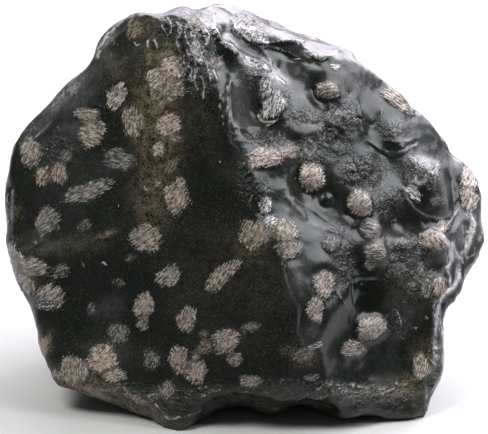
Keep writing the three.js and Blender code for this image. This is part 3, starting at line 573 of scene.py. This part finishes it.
def fine_lump(node):
    """A closed, evenly meshed copy of the node's solid, finer on the front."""
    bm = bmesh.new()
    bm.from_mesh(node.data)
    bmesh.ops.remove_doubles(bm, verts=bm.verts, dist=SAME_SPOT)
    solid = BVHTree.FromBMesh(bm)
    mesh = bpy.data.meshes.new("obsidian_lump")
    bm.to_mesh(mesh)
    bm.free()
    mesh.materials.clear()
    lump = bpy.data.objects.new("obsidian_lump", mesh)
    bpy.context.scene.collection.objects.link(lump)
    grain = lump.modifiers.new("grain", "REMESH")
    grain.mode = "VOXEL"
    grain.voxel_size = GRAIN * MM
    mesh = settled(lump)
    bm = bmesh.new()
    bm.from_mesh(mesh)
    soften(bm, bm.verts, rounds=2)
    halve_faces(bm, facing_verts(bm))
    for v in bm.verts:
        v.co = solid.find_nearest(v.co)[0]
    soften(bm, bm.verts, rounds=1)
    soften(bm, facing_verts(bm), rounds=5)
    shown = facing_verts(bm)
    x, y = picture(seen(np.array([v.co for v in shown]) / MM))
    halve_faces(bm, [v for v, wanted in zip(shown, detailed(x, y)) if wanted])
    soften(bm, facing_verts(bm), rounds=2)
    bm.to_mesh(mesh)
    bm.free()
    return lump, mesh


def facing_verts(bm):
    """The vertices on the side that the front shows, and just past its edge."""
    eye = sighted() @ Vector((0, 0, 1))
    bm.normal_update()
    return [v for v in bm.verts if v.normal.dot(eye) > FRONT_EDGE]


def halve_faces(bm, verts):
    """Makes the faces between these vertices half as wide."""
    chosen = set(verts)
    edges = [e for e in bm.edges if e.verts[0] in chosen and e.verts[1] in chosen]
    bmesh.ops.subdivide_edges(bm, edges=edges, cuts=1, use_grid_fill=True)


def detailed(x, y):
    """True where the front has fine lines or scratches."""
    near = patches(x, y, ROUGH) > FINE_ROUGH
    for points in [line[3] for line in each_line()] + [route(rim[2]) for rim in RIMS_AND_SHEENS]:
        near |= line_gap(x, y, points, 1.0) < FINE_GAP
    return near


def soften(bm, verts, rounds):
    for _ in range(rounds):
        bmesh.ops.smooth_vert(bm, verts=verts, factor=0.5, use_axis_x=True, use_axis_y=True, use_axis_z=True)


def picture(view):
    """The picture point that each place is seen at."""
    nearer = SIGHT_DISTANCE / (SIGHT_DISTANCE - view[:, 2]) / POINT
    return view[:, 0] * nearer + MIDDLE[0], MIDDLE[1] - view[:, 1] * nearer


def placed(mesh):
    """The vertices in mm and their normals."""
    count = len(mesh.vertices)
    spots, normals = np.zeros(count * 3), np.zeros(count * 3)
    mesh.vertices.foreach_get("co", spots)
    mesh.vertex_normals.foreach_get("vector", normals)
    return spots.reshape(-1, 3) / MM, normals.reshape(-1, 3)


def seen(spots):
    """Each place as (across, up, toward the eye)."""
    return (spots - np.array(SIGHT_CENTRE)) @ np.array(sighted())


def facing_eye(normals):
    """How squarely each normal faces the eye: 1 straight at it, 0 side on."""
    return (normals @ np.array(sighted()))[:, 2]


def wander(spots, size, seed):
    """Soft noise from -1 to 1 whose swells are about size mm wide."""
    shift = Vector((seed * 7.31, seed * 3.17, seed * 5.77))
    return np.array([noise.noise(Vector(p) / size + shift) for p in spots])


def ramp(values, low, high):
    """A soft rise from 0 at low to 1 at high."""
    t = np.clip((values - low) / (high - low), 0, 1)
    return t * t * (3 - 2 * t)


# Relief

def route(words):
    """The picture points of a line that is written as x,y x,y and so on."""
    return [tuple(map(int, pair.split(","))) for pair in words.split()]


def each_line():
    """Every line of LINES with its height, half width and whiteness."""
    for tall, wide, white, lines in LINES:
        for words in lines:
            yield tall, wide, white, route(words)


def oval(x, y, middle_x, middle_y, wide, high, turn):
    """How far each picture point is out of an oval: 0 in the middle, 1 on its rim."""
    a = math.radians(turn)
    dx, dy = x - middle_x, middle_y - y
    u = (dx * math.cos(a) + dy * math.sin(a)) / wide
    v = (dy * math.cos(a) - dx * math.sin(a)) / high
    return np.sqrt(u * u + v * v)


def along_stretch(x, y, start, end):
    """How far along a straight stretch each picture point lies, from 0 to 1, and its distance from it."""
    (x0, y0), (x1, y1) = start, end
    along = np.clip(((x - x0) * (x1 - x0) + (y - y0) * (y1 - y0)) / math.hypot(x1 - x0, y1 - y0) ** 2, 0, 1)
    return along, np.hypot(x - x0 - along * (x1 - x0), y - y0 - along * (y1 - y0))


def line_gap(x, y, points, wide):
    """Distance of each picture point from a line, in half widths, growing past the line's ends."""
    gap = np.full(len(x), FAR_OFF)
    for start, end in zip(points, points[1:]):
        gap = np.minimum(gap, along_stretch(x, y, start, end)[1])
    return gap / wide


def side_of(x, y, points):
    """Signed distance in points, positive to the right of a line that runs down the picture, and
    how near to the line's middle the place lies: 0 past its ends, 1 over most of it."""
    gap, side, share = np.full(len(x), FAR_OFF), np.ones(len(x)), np.zeros(len(x))
    for i, ((x0, y0), (x1, y1)) in enumerate(zip(points, points[1:])):
        along, near = along_stretch(x, y, (x0, y0), (x1, y1))
        turn = (y1 - y0) * (x - x0) - (x1 - x0) * (y - y0)
        nearest = near < gap
        gap, side = np.where(nearest, near, gap), np.where(nearest, np.sign(turn), side)
        share = np.where(nearest, (i + along) / (len(points) - 1), share)
    return gap * side, ramp(share, 0.0, 0.3) * ramp(share, 1.0, 0.7)


def front_relief(x, y, wavy, drift, broken):
    """Height in mm of the crests, creases, scarps, hollows and rings of the front."""
    height = np.zeros(len(x))
    for tall, wide, _, points in each_line():
        gap = line_gap(x + wavy, y + wavy, points, max(wide, LEAST_WIDE))
        height += tall * LINE_RISE * np.exp(-gap ** 2) * broken
    for tall, fall, words in SCARPS:
        off, whole = side_of(x + wavy, y + wavy, route(words))
        height += tall * whole * (np.tanh(off / 1.2) + 1) * np.exp(-np.maximum(off, 0) / fall) / 2
    for mx, my, wide, high, turn, tall, steep in KNOBS:
        height += tall * np.exp(-oval(x + drift, y - drift, mx, my, wide, high, turn) ** (2 * steep))
    for mx, my, radius, tall in RINGS:
        out = np.hypot(x + drift * 0.6 - mx, y + drift * 0.6 - my)
        height += tall * RING_RISE * broken * np.exp(-((out - radius) / (radius * 0.16 + 0.9)) ** 2)
    return height


def patches(x, y, listed):
    """The strongest of the listed oval patches at each picture point."""
    most = np.zeros(len(x))
    for mx, my, wide, high, turn, strength in listed:
        most = np.maximum(most, strength * np.exp(-oval(x, y, mx, my, wide, high, turn) ** 2.5))
    return most


def soft_rims_and_sheens(x, y, drift, broken):
    """How dusty each place is along the worn rims, with painted sheen along the lit edges and ridges."""
    most = np.zeros(len(x))
    for wide, strength, words in RIMS_AND_SHEENS:
        gap = line_gap(x + drift * 0.6, y + drift * 0.6, route(words), wide)
        most = np.maximum(most, strength * np.exp(-gap ** 2))
    return most * (0.45 + 0.55 * broken)


def worn_and_glinting_lines(x, y, wavy, broken):
    """How white each place is painted along the crests: worn chalk in part, and in part a painted highlight
    on the crest.
    """
    most = np.zeros(len(x))
    for _, wide, white, points in each_line():
        if white:
            gap = line_gap(x + wavy * 0.4, y + wavy * 0.4, points, wide)
            most = np.maximum(most, white * np.exp(-gap ** 2))
    return most * (0.6 + 0.4 * broken)


def convexity(mesh, spots, normals):
    """How sharply the surface turns at each vertex: positive on crests, negative in creases."""
    edges = np.zeros(len(mesh.edges) * 2, np.int64)
    mesh.edges.foreach_get("vertices", edges)
    a, b = edges.reshape(-1, 2).T
    count = len(spots)
    way = spots[b] - spots[a]
    way /= np.maximum(np.linalg.norm(way, axis=1), 1e-9)[:, None]
    falls_a, falls_b = -(normals[a] * way).sum(1), (normals[b] * way).sum(1)
    total = np.bincount(a, falls_a, count) + np.bincount(b, falls_b, count)
    return total / (np.bincount(a, minlength=count) + np.bincount(b, minlength=count))


# Flakes

def turned_axes(degrees):
    """Two directions across the line of sight, to the right and up, turned counter-clockwise."""
    a = math.radians(degrees)
    right, up = Vector((math.cos(a), math.sin(a), 0)), Vector((-math.sin(a), math.cos(a), 0))
    return sighted() @ right, sighted() @ up


def front_flakes(tree):
    """The flakes read off the front, dropped onto the lump along the line of sight."""
    found = []
    for row in FRONT_FLAKES.strip().split("\n"):
        *measures, tint = row.split(maxsplit=8)
        x, y, wide, high, tilt, lay, fan, solid = map(float, measures)
        eye, way = sight_line(x, y)
        spot, normal, _, _ = tree.ray_cast(eye * MM, way)
        if spot is None:
            continue
        side, rise = turned_axes(tilt)
        needle, across = turned_axes(lay)
        size = POINT * math.sqrt(wide * high)
        found.append(Flake(spot / MM, side / (wide * POINT), rise / (high * POINT),
                           normal / (size * FLAKE_DEPTH), needle / NEEDLE, across / NEEDLE,
                           tint, fan, solid, size))
    return found


def other_flakes(spots, normals, taken):
    """Flakes for the faces that the front doesn't show, at about the same spacing."""
    chance = random.Random(11)
    hidden = np.flatnonzero(facing_eye(normals) < AWAY_FROM)
    found = []
    held = [(Vector(f.spot), f.size) for f in taken]
    for _ in range(HIDDEN_TRIES):
        i = int(hidden[chance.randrange(len(hidden))])
        spot, normal = Vector(spots[i]), Vector(normals[i])
        size = chance.uniform(*HIDDEN_SIZES)
        if any((spot - other).length < (size + wide) * chance.uniform(*HIDDEN_GAPS) + HIDDEN_SPACE
               for other, wide in held):
            continue
        held.append((spot, size))
        stretch = chance.uniform(*HIDDEN_STRETCH)
        side = normal.orthogonal().normalized()
        side.rotate(Matrix.Rotation(chance.uniform(0, math.tau), 3, normal))
        needle = side.copy()
        needle.rotate(Matrix.Rotation(chance.uniform(0, math.tau), 3, normal))
        tint, solid = chance.choice(HIDDEN_TINTS), chance.choice(HIDDEN_SOLIDS)
        found.append(Flake(spot, side / (size * stretch), normal.cross(side) / (size / stretch),
                           normal / (size * FLAKE_DEPTH), needle / NEEDLE, normal.cross(needle) / NEEDLE,
                           tint, chance.uniform(*HIDDEN_FANS), solid, size))
    return found


def flake_field(spots, flakes):
    """For every vertex: how far out of its nearest flake it lies (1 at the rim), its place in the
    flake's oval with how solid it is, its place across the needles, and the tint with the fan."""
    count = len(spots)
    reach, second = np.full(count, REACH_LIMIT), np.full(count, REACH_LIMIT)
    place, needle, tint = np.zeros((count, 3)), np.zeros((count, 3)), np.zeros((count, 4))
    place[:, :2] = 1.4
    chance = random.Random(5)
    for flake in flakes:
        seed = chance.uniform(3, 90)
        off = spots - np.array(flake.spot)
        near = np.flatnonzero((off ** 2).sum(1) < (flake.size * FLAKE_FIELD) ** 2)
        off = off[near]
        x, y, z = (off @ np.array(axis) for axis in (flake.along, flake.up, flake.out))
        angle = np.arctan2(y, x)
        lumpy = 1
        for deep, waves, shift in RIM_WAVES:
            lumpy = lumpy + deep * np.sin(angle * waves + seed * shift)
        x, y = x / lumpy, y / lumpy
        r = np.minimum(np.sqrt(x * x + y * y) + np.maximum(0, np.abs(z) - 0.45) * 1.2, REACH_LIMIT)
        first = r < reach[near]
        hit = near[first]
        second[near] = np.where(first, reach[near], np.minimum(second[near], r))
        reach[hit] = r[first]
        place[hit] = np.stack([x[first], y[first], np.full(len(hit), flake.solid)], 1)
        u, v = off @ np.array(flake.needle), off @ np.array(flake.across)
        needle[hit] = np.stack([u[first], v[first], np.full(len(hit), seed)], 1)
        tint[hit] = (*TINTS[flake.tint], flake.fan)
    # a dark seam is kept where two flakes meet
    seam = 1.13 - (second - reach) * 1.6
    return np.maximum(reach, np.where(second < 1.3, seam, 0)), place, needle, tint


def paint(mesh, name, kind, values):
    layer = mesh.attributes.new(name, kind, "POINT")
    key = {"FLOAT": "value", "FLOAT_VECTOR": "vector", "FLOAT_COLOR": "color"}[kind]
    layer.data.foreach_set(key, np.asarray(values, np.float32).ravel())


# Obsidian

class Wiring:
    """Short forms for laying out a material's nodes."""

    def __init__(self, material):
        material.use_nodes = True
        self.tree = material.node_tree
        self.tree.nodes.clear()

    def node(self, kind, **settings):
        made = self.tree.nodes.new(kind)
        for key, value in settings.items():
            setattr(made, key, value)
        return made

    def join(self, source, socket):
        if isinstance(source, bpy.types.NodeSocket):
            self.tree.links.new(source, socket)
        else:
            socket.default_value = source

    def maths(self, operation, *values):
        made = self.node("ShaderNodeMath", operation=operation)
        for socket, value in zip(made.inputs, values):
            self.join(value, socket)
        return made.outputs[0]

    def plus(self, *values):
        return reduce(lambda total, value: self.maths("ADD", total, value), values)

    def minus(self, value, other):
        return self.maths("SUBTRACT", value, other)

    def times(self, *values):
        return reduce(lambda total, value: self.maths("MULTIPLY", total, value), values)

    def vector(self, operation, *values):
        made = self.node("ShaderNodeVectorMath", operation=operation)
        slots = [made.inputs[0], made.inputs["Scale"]] if operation == "SCALE" else made.inputs
        for socket, value in zip(slots, values):
            self.join(value, socket)
        return made.outputs["Value"] if operation == "LENGTH" else made.outputs[0]

    def noise(self, place, scale, detail=2.0, rough=0.5, distort=0.0, output="Fac"):
        made = self.node("ShaderNodeTexNoise")
        self.join(place, made.inputs["Vector"])
        made.inputs["Scale"].default_value = scale
        made.inputs["Detail"].default_value = detail
        made.inputs["Roughness"].default_value = rough
        made.inputs["Distortion"].default_value = distort
        return made.outputs[output]

    def cells(self, place, scale):
        """Distance to the nearest edge of a net of cracks."""
        made = self.node("ShaderNodeTexVoronoi", feature="DISTANCE_TO_EDGE")
        self.join(place, made.inputs["Vector"])
        made.inputs["Scale"].default_value = scale
        return made.outputs["Distance"]

    def step(self, value, low, high, to_low=0.0, to_high=1.0):
        """A soft change from to_low, where the value is low, to to_high, where it is high."""
        made = self.node("ShaderNodeMapRange", interpolation_type="SMOOTHSTEP")
        for socket, v in zip(made.inputs, (value, low, high, to_low, to_high)):
            self.join(v, socket)
        return made.outputs[0]

    def mix(self, share, first, other):
        made = self.node("ShaderNodeMix", data_type="RGBA")
        self.join(share, made.inputs[0])
        self.join(first, made.inputs[6])
        self.join(other, made.inputs[7])
        return made.outputs[2]

    def apart(self, vector):
        made = self.node("ShaderNodeSeparateXYZ")
        self.join(vector, made.inputs[0])
        return made.outputs

    def together(self, x, y, z):
        made = self.node("ShaderNodeCombineXYZ")
        for socket, value in zip(made.inputs, (x, y, z)):
            self.join(value, socket)
        return made.outputs[0]

    def attribute(self, name, output):
        return self.node("ShaderNodeAttribute", attribute_name=name).outputs[output]


def crystals(w, place):
    """How much of the surface is crystal, its colour, and the needle pattern."""
    x, y, solid = w.apart(w.attribute("flake_place", "Vector"))
    u, v, seed = w.apart(w.attribute("flake_needle", "Vector"))
    tint, fan = w.attribute("flake_tint", "Color"), w.attribute("flake_tint", "Alpha")
    flat = w.together(x, y, 0.0)
    reach = w.maths("MAXIMUM", w.vector("LENGTH", flat), w.minus(w.attribute("flake_reach", "Fac"), 0.12))

    # needles: rays out of the middle where the flake fans out, and straight strokes
    spin = w.vector("ADD", w.vector("SCALE", w.vector("NORMALIZE", flat), 7.5), w.vector("SCALE", flat, 2.6))
    rays = w.noise(w.vector("ADD", spin, w.together(0.0, 0.0, seed)), 1.0, 1.0, 0.5)
    strokes = w.noise(w.together(w.times(u, 2.2), w.times(v, 9.5), seed), 1.0, 1.0, 0.5, 0.6)
    fan = w.times(fan, 0.6)
    needles = w.plus(w.times(rays, fan), w.times(strokes, w.minus(1.0, fan)))

    # cover: ragged at the rim, thinner where the flake is less solid
    fleck = w.noise(place, 2700, 1.0, 0.6)
    blotch = w.noise(place, 1050, 2.0, 0.6)
    grainy = w.plus(needles, w.times(w.minus(fleck, 0.5), 0.40), w.times(w.minus(blotch, 0.5), 0.22))
    bare = w.plus(w.times(w.step(reach, 0.35, 1.0), 0.14), w.times(w.step(reach, 0.85, 1.36), 0.34),
                  w.times(w.minus(1.0, solid), 0.17), 0.375)
    cover = w.step(w.minus(grainy, bare), -0.05, 0.05)
    inside = w.step(w.plus(reach, w.times(w.minus(grainy, 0.5), -1.1)), 1.06, 0.88)
    covered = w.maths("MAXIMUM", cover, w.times(inside, solid, 0.58))
    crystal = w.times(covered, w.plus(0.45, w.times(solid, 0.55)))
    pale = w.times(w.step(grainy, 0.32, 0.68, 0.50, 1.80), w.step(blotch, 0.30, 0.70, 0.80, 1.20))
    return crystal, w.vector("SCALE", tint, pale), needles


def bare_glass(w, cloud, grit, glassy):
    """Black-green glass with a fine olive grit, which the mirror-like patches hardly have."""
    glass = w.mix(cloud, DARK_GLASS, PALE_GLASS)
    thick = w.step(cloud, 0.35, 0.6, 0.35, 0.9)
    gritty = w.minus(1.0, w.times(glassy, 0.9))
    return w.mix(w.times(w.step(grit, 0.53, 0.70), thick, gritty), glass, OLIVE_GRIT)


def filmed(w, glass, stain, film, grit):
    """Brown film where the glass is stained."""
    blotchy = w.step(w.plus(w.times(film, 0.55), w.times(grit, 0.45)), 0.38, 0.60)
    return w.mix(w.times(stain, blotchy), glass, w.mix(film, DARK_FILM, TAN_FILM))


def dusted_and_sheened(w, glass, haze_and_sheen, cloud, film, strands):
    """Grey haze, paler where it is thick: dust, and painted sheen where faces catch soft light."""
    streaky = w.plus(w.times(cloud, 0.35), w.times(film, 0.25), w.times(strands, 0.4))
    dust_and_sheen = w.times(haze_and_sheen, w.step(streaky, 0.40, 0.60, 0.45, 1.40))
    grey = w.mix(w.step(dust_and_sheen, 0.4, 1.2), THIN_HAZE_AND_SHEEN, THICK_HAZE_AND_SHEEN)
    return w.mix(w.maths("MINIMUM", dust_and_sheen, 0.92), glass, grey)


def scratched_and_glinting(w, glass, rough, frost_and_glint, film, strands):
    """Fine pale threads over the rough patches: dust in the scratches, and painted highlights on their fine
    ridges.
    """
    thread = w.step(w.maths("ABSOLUTE", w.minus(strands, 0.5)), 0.040, 0.010)
    threads = w.times(rough, thread, w.step(film, 0.36, 0.54), w.plus(0.35, frost_and_glint))
    return w.mix(w.times(threads, 0.85), glass, SCRATCH_AND_GLINT)


def layered(w, glass, layers, strata):
    """The dark layers of the lower rim, with pale seams between them."""
    glass = w.mix(w.times(layers, w.step(strata, 0.47, 0.62), 0.8), glass, DARK_LAYER)
    seams = w.step(w.maths("ABSOLUTE", w.minus(strata, 0.56)), 0.022, 0.008)
    return w.mix(w.times(layers, seams, 0.8), glass, PALE_SEAM)


def chalked_and_glinting(w, glass, stain, frost_and_glint, film, strands):
    """Ragged chalky white along the worn edges, with painted highlights on crests and lit edge
    facets, browner where the glass is stained.
    """
    ragged = w.plus(frost_and_glint, w.times(w.minus(film, 0.5), 0.7), w.times(w.minus(strands, 0.5), 2.1))
    chalk_and_glint = w.mix(w.step(stain, 0.2, 0.8), CHALK_AND_GLINT, BROWN_CHALK_AND_GLINT)
    return w.mix(w.times(w.step(frost_and_glint, 0.1, 0.3), w.step(ragged, 0.40, 0.95)), glass, chalk_and_glint)


def dullness(w, place, rough, glassy, crystal):
    """A satin lustre that varies softly: duller on the crystals, sharper on fresh glass."""
    satin = w.step(w.noise(place, 160, 3.0, 0.55), 0.3, 0.7, 0.34, 0.48)
    gloss = w.plus(satin, w.times(rough, 0.10), w.times(glassy, -0.30))
    return w.maths("MAXIMUM", w.plus(gloss, w.times(crystal, 0.20)), 0.09)


def fine_bump(w, place, rough, glassy, layers, strata, crystal, needles):
    """Grain, cracks in the rough patches, the layers of the lower rim and the crystals' needles."""
    swerve = w.vector("SUBTRACT", w.noise(place, 520, output="Color"), (0.5, 0.5, 0.5))
    bent = w.vector("ADD", place, w.vector("SCALE", swerve, 0.0030))
    crack = w.step(w.cells(bent, 700), 0.00, 0.14)
    fine = w.noise(place, 1400, 3.0, 0.6)
    grain = w.times(fine, w.plus(0.34, w.times(rough, 0.5), w.times(glassy, -0.26)))
    raised = w.times(crystal, w.plus(0.2, w.times(needles, 1.2)))
    bump = w.node("ShaderNodeBump")
    bump.inputs["Strength"].default_value = 0.8
    bump.inputs["Distance"].default_value = 0.00022
    height = w.plus(grain, w.times(crack, rough, 1.7), w.times(layers, strata, 2.4), raised)
    w.join(height, bump.inputs["Height"])
    return bump.outputs[0]


def obsidian():
    material = bpy.data.materials.new("obsidian")
    w = Wiring(material)
    place = w.node("ShaderNodeTexCoord").outputs["Object"]
    wear_and_painted_light = w.node("ShaderNodeSeparateColor")
    w.join(w.attribute("wear_and_painted_light", "Color"), wear_and_painted_light.inputs[0])
    # the third channel is frost with painted highlights on crests and lit edges; the alpha is haze with
    # painted sheen
    stain, rough, frost_and_glint = wear_and_painted_light.outputs
    haze_and_sheen = w.attribute("wear_and_painted_light", "Alpha")
    glassy = w.maths("MINIMUM", w.attribute("glassy", "Fac"), 1.0)
    crystal, crystal_colour, needles = crystals(w, place)

    # patterns, from coarse to fine, that several layers of the finish share
    cloud = w.noise(place, 90, 4.0, 0.6)
    film = w.noise(place, 700, 4.0, 0.65)
    strands = w.noise(w.vector("MULTIPLY", place, (1.0, 1.0, 0.38)), 1200, 2.0, 0.6, 1.2)
    strata = w.noise(w.vector("MULTIPLY", place, (0.22, 0.22, 1.0)), 1500, 3.0, 0.6, 0.6)
    grit = w.noise(place, 3300, 1.0, 0.5)
    layers = w.times(w.step(w.apart(place)[2], *LAYERS_TOP), w.plus(0.25, w.times(rough, 0.75)))

    glass = bare_glass(w, cloud, grit, glassy)
    glass = filmed(w, glass, stain, film, grit)
    # the haze, the threads and the chalk below also paint sheen and highlights into the colour
    glass = dusted_and_sheened(w, glass, haze_and_sheen, cloud, film, strands)
    glass = scratched_and_glinting(w, glass, rough, frost_and_glint, film, strands)
    glass = layered(w, glass, layers, strata)
    glass = chalked_and_glinting(w, glass, stain, frost_and_glint, film, strands)
    bump = fine_bump(w, place, rough, glassy, layers, strata, crystal, needles)

    shader = w.node("ShaderNodeBsdfPrincipled")
    w.join(w.mix(crystal, glass, crystal_colour), shader.inputs["Base Color"])
    w.join(dullness(w, place, rough, glassy, crystal), shader.inputs["Roughness"])
    w.join(bump, shader.inputs["Normal"])
    shader.inputs["IOR"].default_value = 1.5
    shader.inputs["Specular IOR Level"].default_value = 0.36
    shader.inputs["Coat Weight"].default_value = 0.26
    shader.inputs["Coat Roughness"].default_value = 0.20
    w.join(bump, shader.inputs["Coat Normal"])
    w.join(shader.outputs[0], w.node("ShaderNodeOutputMaterial").inputs["Surface"])
    return material


# The lump

class Skin:
    """What the relief and the finish are worked out from, for every vertex of the smooth lump."""

    def __init__(self, mesh):
        self.spots, self.normals = placed(mesh)
        self.x, self.y = picture(seen(self.spots))
        self.facing = facing_eye(self.normals)
        self.front = ramp(self.facing, *FRONT_FADE)
        self.back = 1 - self.front
        self.shown = ramp(self.facing, *SHOWN_FADE)
        crest_x, crest_y = zip(*route(CREST))
        self.right = ramp(self.x - np.interp(self.y, crest_y, crest_x), 0, 10)
        self.wavy = wander(self.spots, 1.6, seed=3) * 1.2
        self.drift = wander(self.spots, 3.4, seed=12) * 2.0
        self.broken = 0.35 + 0.65 * ramp(wander(self.spots, 2.6, seed=13), -0.35, 0.25)
        rough_back = self.back * ramp(wander(self.spots, 11, seed=9), 0.15, 0.5) * 0.7
        self.rough = np.maximum(self.front * patches(self.x, self.y, ROUGH), rough_back)


def raise_relief(mesh, skin, reach):
    """Moves every vertex out or in by the height in mm that the surface has there."""
    lively = skin.front * (0.15 + 0.85 * skin.right) + skin.back * 0.9
    height = sum(wander(skin.spots, size, seed) * tall for size, tall, seed in SWELLS) * lively
    height += front_relief(skin.x, skin.y, skin.wavy, skin.drift, skin.broken) * skin.front
    gashed = 0.22 - np.abs(wander(skin.spots, 2.0, seed=4)) * 0.9
    gashed = gashed + wander(skin.spots, 1.0, seed=5) * 0.30 + wander(skin.spots, 0.6, seed=16) * 0.12
    height += skin.rough * gashed
    moat = ramp(reach, REACH_LIMIT, 1.2) * ramp(reach, 0.9, 1.15) * 0.10
    height += 0.06 * ramp(1.1 - reach, 0, 0.25) - moat * lively
    height = np.clip(height, *RELIEF) * ramp(skin.spots[:, 2], 0.0, 1.6)
    spots = skin.spots + skin.normals * height[:, None]
    spots[:, 2] = np.maximum(spots[:, 2], 0.0)
    mesh.vertices.foreach_set("co", (spots * MM).ravel())
    mesh.update()


def wear_and_painted_light_masks(mesh, skin):
    """How stained, rough, frosted and hazy every vertex is. The frost also holds painted highlights
    on crests and lit edges, and the haze painted sheen along rims and faces that catch soft light.
    """
    spots, normals = placed(mesh)
    x, y, back, shown = skin.x, skin.y, skin.back, skin.shown
    # painted highlight: the sharper a crest turns, the whiter it is painted, like the glints on thin edges
    crest_glint = ramp(convexity(mesh, spots, normals), 0.14, 0.36) * (0.35 + 0.25 * back)
    stained_back = back * ramp(wander(spots, 17, seed=6), 0.1, 0.5) * 0.6
    hazy_back = back * ramp(wander(spots, 14, seed=15), 0.2, 0.6) * 0.4
    white = np.maximum(patches(x, y, FROST_AND_GLINT), worn_and_glinting_lines(x, y, skin.wavy, skin.broken))
    rims_and_sheens = soft_rims_and_sheens(x, y, skin.drift, skin.broken) * ramp(skin.facing, *RIM_FADE)
    stain = np.maximum(shown * patches(x, y, STAINS), stained_back)
    haze_and_sheen = np.maximum(shown * np.maximum(patches(x, y, HAZE_AND_SHEEN), rims_and_sheens), hazy_back)
    return np.stack([stain, skin.rough, np.maximum(shown * white, crest_glint), haze_and_sheen], 1)


def stone():
    lump, mesh = fine_lump(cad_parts["snowflake_obsidian"])
    skin = Skin(mesh)
    bm = bmesh.new()
    bm.from_mesh(mesh)
    flakes = front_flakes(BVHTree.FromBMesh(bm))
    bm.free()
    flakes += other_flakes(skin.spots, skin.normals, flakes)
    reach, place, needle, tint = flake_field(skin.spots, flakes)
    raise_relief(mesh, skin, reach)
    mirrors = np.maximum(patches(skin.x, skin.y, GLASSY), skin.right * 0.30 * (1 - skin.rough))
    paint(mesh, "flake_reach", "FLOAT", reach)
    paint(mesh, "flake_place", "FLOAT_VECTOR", place)
    paint(mesh, "flake_needle", "FLOAT_VECTOR", needle)
    paint(mesh, "flake_tint", "FLOAT_COLOR", tint)
    paint(mesh, "glassy", "FLOAT", skin.front * mirrors)
    paint(mesh, "wear_and_painted_light", "FLOAT_COLOR", wear_and_painted_light_masks(mesh, skin))
    mesh.shade_smooth()
    mesh.materials.append(obsidian())
    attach(lump, "root")
    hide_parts("snowflake_obsidian")


camera()
room()
stone()
